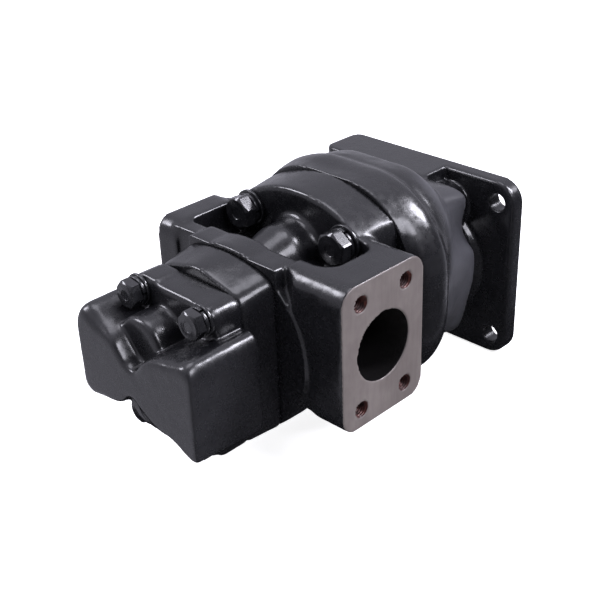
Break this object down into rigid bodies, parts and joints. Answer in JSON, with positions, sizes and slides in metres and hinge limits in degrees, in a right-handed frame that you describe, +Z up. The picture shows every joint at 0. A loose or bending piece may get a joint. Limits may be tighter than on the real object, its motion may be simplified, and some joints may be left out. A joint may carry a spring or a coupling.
{
  "type": "tandem hydraulic gear pump",
  "caption": "Tandem hydraulic gear pump: square flange, pilot and keyed shaft, flanged suction arm on one side, delivery ports on the other, bolted rear pump section.",
  "frame": {"origin": "drive shaft axis at the face of the mounting flange", "axes": "+X along the drive shaft towards the drive end, +Z up, the suction port faces -Y"},
  "size_m": [0.3746, 0.1955, 0.1802],
  "materials": {
    "black_paint": "gloss black paint over cast iron, bare machined port faces",
    "painted_fasteners": "gloss black paint over zinc plated steel",
    "steel": "ground",
    "spring_steel": "phosphated, dark",
    "bearing_aluminium": "machined",
    "bush_metal": "bronze-backed bush",
    "seal_rubber": "matt"
  },
  "bodies": {
    "casing": {"back_bearing_block": "bearing_aluminium", "front_bearing_block": "bearing_aluminium", "front_bolt_flat_washers": "painted_fasteners", "front_bolt_spring_washers": "painted_fasteners", "front_bolts": "painted_fasteners", "front_dowels": "steel", "front_gear_bushes": "bush_metal", "front_housing": "black_paint", "front_joint_seal": "seal_rubber", "middle_casting": "black_paint", "rear_bolt_flat_washers": "painted_fasteners", "rear_bolt_spring_washers": "painted_fasteners", "rear_bolts": "painted_fasteners", "rear_cover": "black_paint", "rear_dowels": "steel", "rear_gear_bushes": "bush_metal", "rear_gear_housing": "black_paint", "rear_joint_seals": "seal_rubber", "rear_pressure_plates": "bearing_aluminium", "retaining_ring": "spring_steel", "shaft_bush": "bush_metal", "shaft_seal": "seal_rubber"},
    "drive_train": {"drive_shaft": "steel", "shaft_key": "steel", "splined_coupling": "steel", "rear_drive_gear": "steel"},
    "front_driven": {"front_driven_gear": "steel"},
    "rear_driven": {"rear_driven_gear": "steel"}
  },
  "joints": [
    {"name": "drive_shaft_spin", "type": "hinge", "parent": "casing", "child": "drive_train", "pos_m": [0, 0, 0], "axis": [1, 0, 0], "continuous": true},
    {"name": "front_driven_gear_spin", "type": "hinge", "parent": "casing", "child": "front_driven", "pos_m": [-0.109, 0, 0.06], "axis": [1, 0, 0], "continuous": true},
    {"name": "rear_driven_gear_spin", "type": "hinge", "parent": "casing", "child": "rear_driven", "pos_m": [-0.2463, 0, 0.033], "axis": [1, 0, 0], "continuous": true}
  ],
  "couplings": [
    {"joint": "front_driven_gear_spin", "follows": "drive_shaft_spin", "ratio": -1},
    {"joint": "rear_driven_gear_spin", "follows": "drive_shaft_spin", "ratio": -1}
  ]
}
